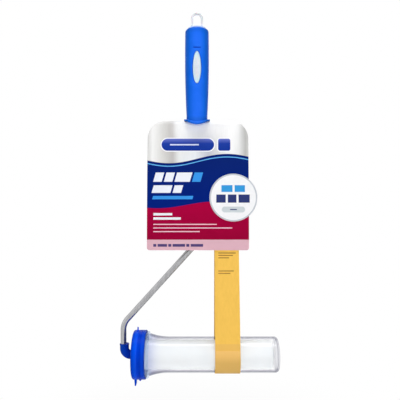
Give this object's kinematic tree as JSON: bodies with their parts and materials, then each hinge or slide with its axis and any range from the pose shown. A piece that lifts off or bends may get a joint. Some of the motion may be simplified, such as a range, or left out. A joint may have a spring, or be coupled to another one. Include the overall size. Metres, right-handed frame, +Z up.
{
  "type": "paint roller",
  "caption": "Hand-held mini paint roller: soft grip, bent rod, foam sleeve on a push-button spindle, clear storage tube on a lid, folded header card and strap.",
  "frame": {"origin": "centre of the arc of the hanging eye at the top of the handle", "axes": "+Z up the handle, +X along the roller's axis towards the closed end of the tube, -Y towards the front of the card"},
  "size_m": [0.1896, 0.0566, 0.4467],
  "materials": {
    "core_plastic": "pale grey, glossy",
    "grip_rubber": "blue soft grip, satin",
    "rod_steel": "bright plated steel",
    "boot_plastic": "dark blue, satin",
    "lid_plastic": "blue, glossy",
    "seal_rubber": "pale grey, soft",
    "tube_clear": "clear, slightly frosted",
    "washer_nylon": "off-white nylon",
    "bush_acetal": "white acetal",
    "clip_steel": "spring steel",
    "spindle_plastic": "white, satin",
    "sleeve_plastic": "pale grey tube",
    "hub_plastic": "white, satin",
    "foam": "white fine-cell foam",
    "button_plastic": "pale grey, glossy",
    "dog_acetal": "white acetal",
    "spring_steel": "spring wire",
    "card_board": "printed board, satin",
    "disc_paper": "white sticker, glossy",
    "strap_board": "yellow board, matt"
  },
  "bodies": {
    "frame": {"handle_core": "core_plastic", "grip_sleeve": "grip_rubber", "frame_rod": "rod_steel", "elbow_boot": "boot_plastic", "storage_lid": "lid_plastic", "lid_seal": "seal_rubber", "thrust_washer_inner": "washer_nylon", "thrust_washer_outer": "washer_nylon", "rod_end_clip": "clip_steel", "header_card": "card_board", "card_disc": "disc_paper", "card_strap": "strap_board"},
    "roller": {"spindle": "spindle_plastic", "bush_inner": "bush_acetal", "bush_outer": "bush_acetal", "sleeve_core": "sleeve_plastic", "foam_cover": "foam", "sleeve_hub_inner": "hub_plastic", "sleeve_hub_outer": "hub_plastic", "button_spring": "spring_steel"},
    "button": {"release_button": "button_plastic"},
    "dog_upper": {"lock_dog_upper": "dog_acetal"},
    "dog_lower": {"lock_dog_lower": "dog_acetal"},
    "tube": {"storage_tube": "tube_clear"}
  },
  "joints": [
    {"name": "roller_spin", "type": "hinge", "parent": "frame", "child": "roller", "pos_m": [0, 0, -0.403], "axis": [1, 0, 0], "continuous": true},
    {"name": "tube_slide", "type": "slide", "parent": "frame", "child": "tube", "axis": [1, 0, 0], "range_m": [0, 0.054]},
    {"name": "button_press", "type": "slide", "parent": "roller", "child": "button", "axis": [-1, 0, 0], "range_m": [0, 0.002], "stiffness_N_per_m": 300, "springref_m": -0.002, "deforming": ["button_spring"]},
    {"name": "dog_upper_slide", "type": "slide", "parent": "roller", "child": "dog_upper", "axis": [0, 0, -1], "range_m": [0, 0.001]},
    {"name": "dog_lower_slide", "type": "slide", "parent": "roller", "child": "dog_lower", "axis": [0, 0, 1], "range_m": [0, 0.001]}
  ],
  "couplings": [
    {"joint": "dog_upper_slide", "follows": "button_press", "ratio": 0.5},
    {"joint": "dog_lower_slide", "follows": "button_press", "ratio": 0.5}
  ]
}
